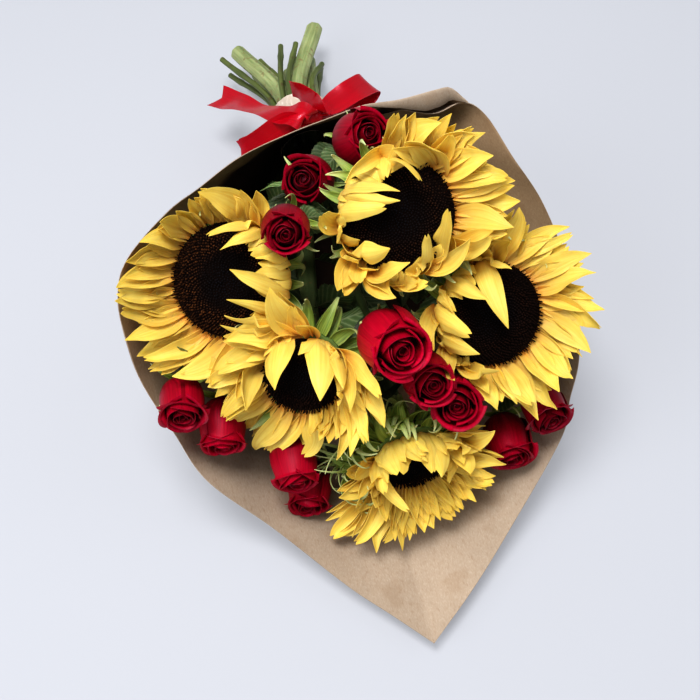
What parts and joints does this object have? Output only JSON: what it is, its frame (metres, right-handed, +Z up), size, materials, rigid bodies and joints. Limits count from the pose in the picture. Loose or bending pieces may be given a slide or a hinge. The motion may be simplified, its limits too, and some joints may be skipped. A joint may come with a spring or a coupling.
{
  "type": "bunch of sunflowers",
  "caption": "Bunch of sunflowers and red roses with cut stems, tied with a satin bow in a cone of kraft paper, made to lie on its side.",
  "frame": {"origin": "middle of the bounding box's footprint, on the surface that the bunch lies on", "axes": "+Z up from the surface; +Y along the bunch towards the cut stems, so the corner of the paper sheet points to -Y; +X to the right when looking from the sheet's corner towards the stems"},
  "size_m": [0.333, 0.6118, 0.2821],
  "materials": {
    "kraft_paper": "matte",
    "stem_tape": "matte",
    "satin_ribbon": "satin",
    "sunflower_stem": "matte",
    "rose_stem": "satin",
    "green_bract": "matte",
    "leaf": "satin",
    "ray_petal": "matte",
    "disc_florets": "matte",
    "rose_petal": "satin"
  },
  "bodies": {
    "root": {"kraft_wrap": "kraft_paper", "leaf_1": "leaf", "leaf_2": "leaf", "leaf_3": "leaf", "leaf_4": "leaf", "leaf_5": "leaf", "leaf_6": "leaf", "ribbon_band": "satin_ribbon", "ribbon_knot": "satin_ribbon", "ribbon_loop_left": "satin_ribbon", "ribbon_loop_right": "satin_ribbon", "ribbon_tail_left": "satin_ribbon", "ribbon_tail_middle": "satin_ribbon", "rose_10_bloom": "rose_petal", "rose_10_stem": "rose_stem", "rose_11_bloom": "rose_petal", "rose_11_stem": "rose_stem", "rose_12_bloom": "rose_petal", "rose_12_stem": "rose_stem", "rose_1_bloom": "rose_petal", "rose_1_stem": "rose_stem", "rose_2_bloom": "rose_petal", "rose_2_stem": "rose_stem", "rose_3_bloom": "rose_petal", "rose_3_stem": "rose_stem", "rose_4_bloom": "rose_petal", "rose_4_stem": "rose_stem", "rose_5_bloom": "rose_petal", "rose_5_stem": "rose_stem", "rose_6_bloom": "rose_petal", "rose_6_stem": "rose_stem", "rose_7_bloom": "rose_petal", "rose_7_stem": "rose_stem", "rose_8_bloom": "rose_petal", "rose_8_stem": "rose_stem", "rose_9_bloom": "rose_petal", "rose_9_stem": "rose_stem", "stem_tape": "stem_tape", "sunflower_front_disc": "disc_florets", "sunflower_front_ray_petals": "ray_petal", "sunflower_front_receptacle": "green_bract", "sunflower_front_stem": "sunflower_stem", "sunflower_left_disc": "disc_florets", "sunflower_left_ray_petals": "ray_petal", "sunflower_left_receptacle": "green_bract", "sunflower_left_stem": "sunflower_stem", "sunflower_middle_disc": "disc_florets", "sunflower_middle_ray_petals": "ray_petal", "sunflower_middle_receptacle": "green_bract", "sunflower_middle_stem": "sunflower_stem", "sunflower_right_disc": "disc_florets", "sunflower_right_ray_petals": "ray_petal", "sunflower_right_receptacle": "green_bract", "sunflower_right_stem": "sunflower_stem", "sunflower_top_disc": "disc_florets", "sunflower_top_ray_petals": "ray_petal", "sunflower_top_receptacle": "green_bract", "sunflower_top_stem": "sunflower_stem"}
  },
  "joints": []
}
